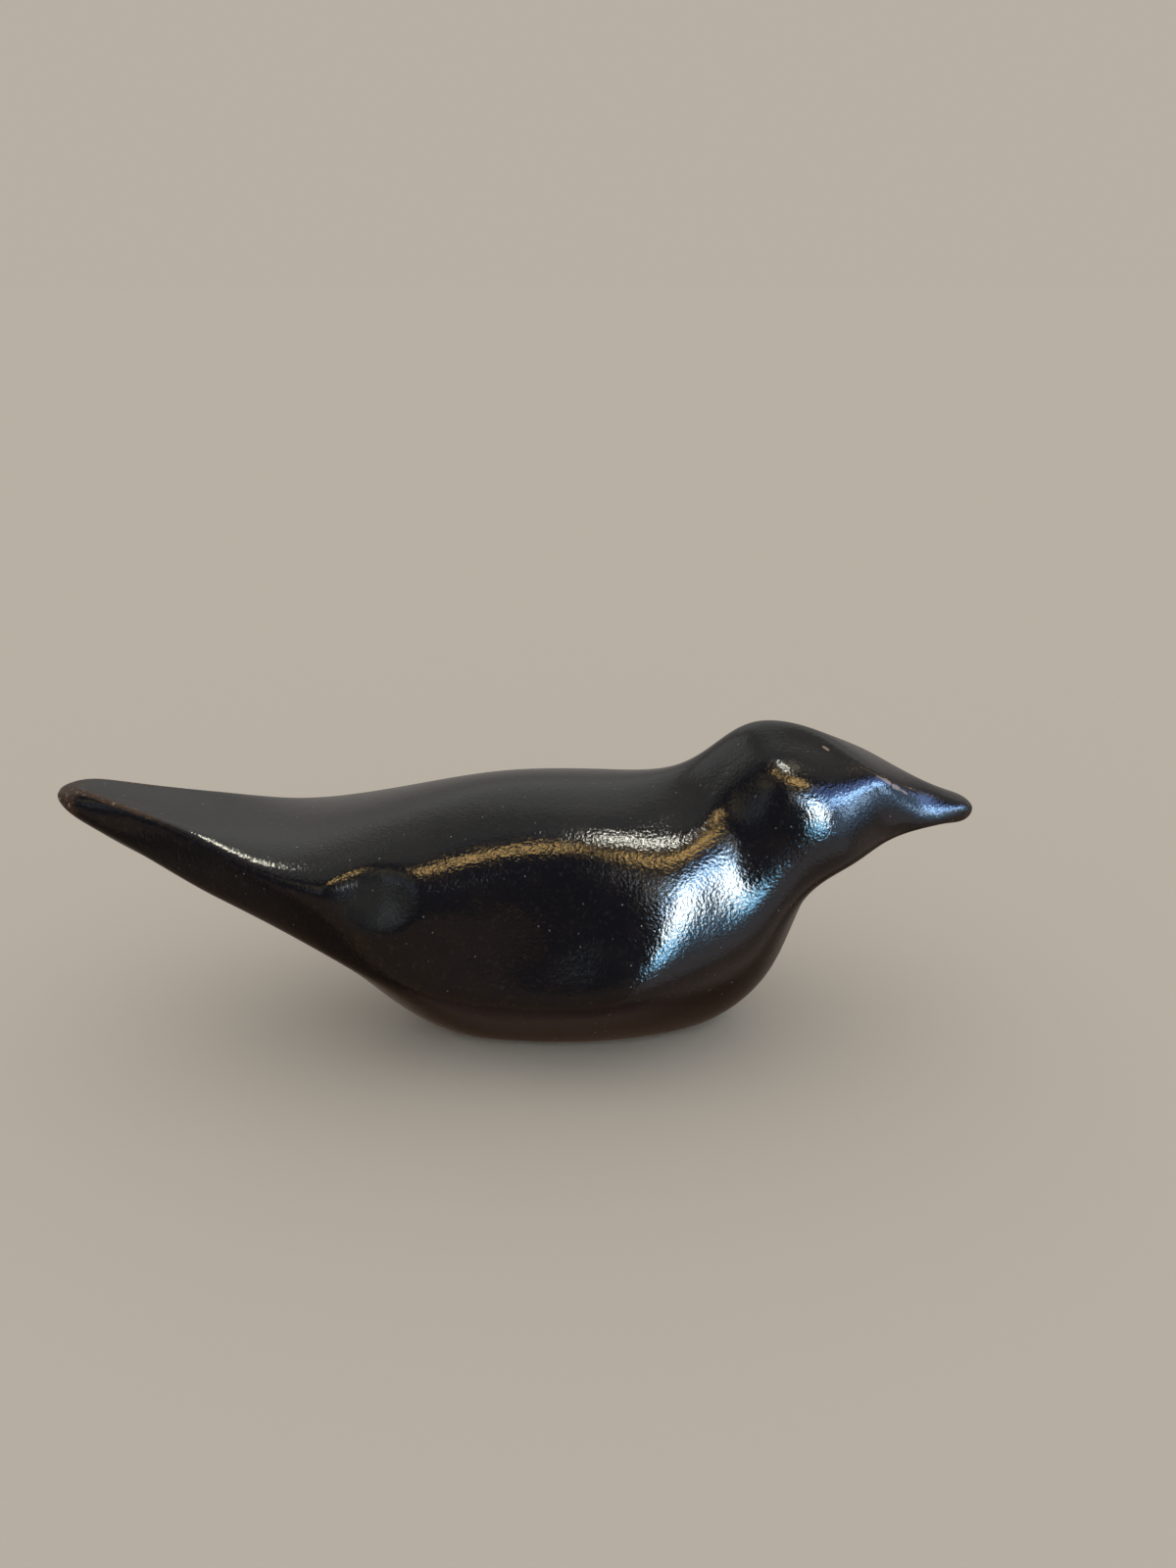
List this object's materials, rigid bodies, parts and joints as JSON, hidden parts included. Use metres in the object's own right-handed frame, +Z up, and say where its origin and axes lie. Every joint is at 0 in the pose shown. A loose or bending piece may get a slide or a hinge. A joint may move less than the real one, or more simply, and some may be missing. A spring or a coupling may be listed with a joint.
{
  "type": "bird figurine",
  "caption": "Solid ceramic songbird figurine with a raised tapering tail, a domed head, a pointed bill and a flat underside, in lustrous black glaze.",
  "frame": {"origin": "middle of the bounding box in plan, on the plane the underside rests on", "axes": "+X along the bird towards the bill, +Z up, +Y to the bird's left side"},
  "size_m": [0.1512, 0.048, 0.0544],
  "materials": {
    "black_glaze": "lustrous gunmetal black glaze over dark brown stoneware"
  },
  "bodies": {
    "root": {"bird": "black_glaze"}
  },
  "joints": []
}
